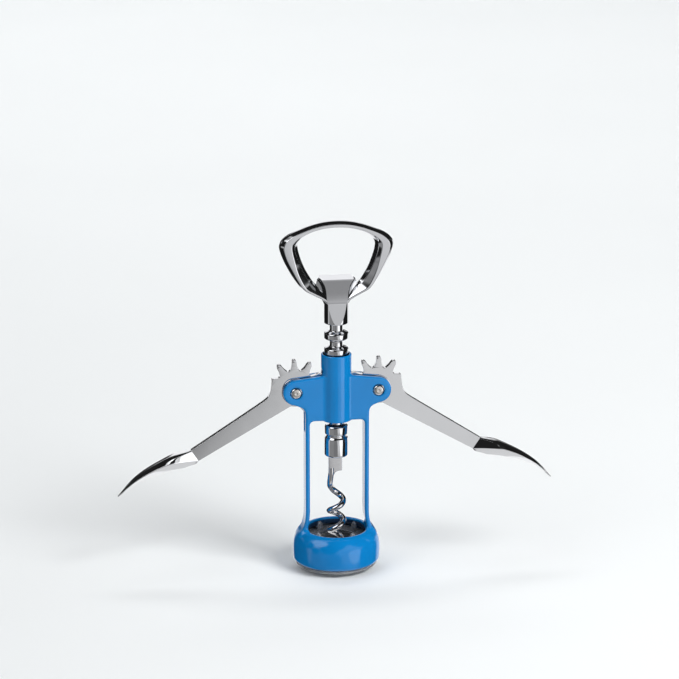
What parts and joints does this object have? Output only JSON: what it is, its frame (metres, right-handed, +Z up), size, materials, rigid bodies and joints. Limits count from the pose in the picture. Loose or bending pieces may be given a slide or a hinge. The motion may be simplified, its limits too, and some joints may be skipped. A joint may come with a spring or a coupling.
{
  "type": "lever corkscrew",
  "caption": "Wing corkscrew with an enamelled frame and bell, geared levers that lift a ringed rack shaft, a right-handed worm and a loop handle with a cap-lifting tongue.",
  "frame": {"origin": "centre of the bell liner's flat lower face, which is the lowest face of the part at rest", "axes": "+Z up the shaft from the bell towards the handle; +X towards the right lever, seen from the front; -Y is the front"},
  "size_m": [0.1876, 0.0376, 0.151],
  "materials": {
    "blue_enamel": "gloss",
    "clear_plastic": "translucent",
    "chrome": "polished",
    "worm_steel": "polished",
    "pin_steel": "satin"
  },
  "bodies": {
    "frame": {"frame": "blue_enamel", "bell_insert": "clear_plastic", "left_pivot_pin": "pin_steel", "right_pivot_pin": "pin_steel"},
    "rack": {"rack_shaft": "chrome"},
    "spindle": {"handle": "chrome", "worm": "worm_steel"},
    "left_lever": {"left_lever": "chrome"},
    "right_lever": {"right_lever": "chrome"}
  },
  "joints": [
    {"name": "rack_slide", "type": "slide", "parent": "frame", "child": "rack", "axis": [0, 0, 1], "range_m": [-0.022, 0.0128]},
    {"name": "spindle_spin", "type": "hinge", "parent": "rack", "child": "spindle", "pos_m": [0, 0, 0.11], "axis": [0, 0, 1], "continuous": true},
    {"name": "left_lever_pivot", "type": "hinge", "parent": "frame", "child": "left_lever", "pos_m": [-0.0176, 0, 0.0773], "axis": [0, 1, 0], "range_deg": [-56.6, 97.2]},
    {"name": "right_lever_pivot", "type": "hinge", "parent": "frame", "child": "right_lever", "pos_m": [0.0176, 0, 0.0773], "axis": [0, -1, 0], "range_deg": [-56.6, 97.2]}
  ],
  "couplings": [
    {"joint": "left_lever_pivot", "follows": "rack_slide", "rad_per_m": -77},
    {"joint": "right_lever_pivot", "follows": "rack_slide", "rad_per_m": -77}
  ]
}
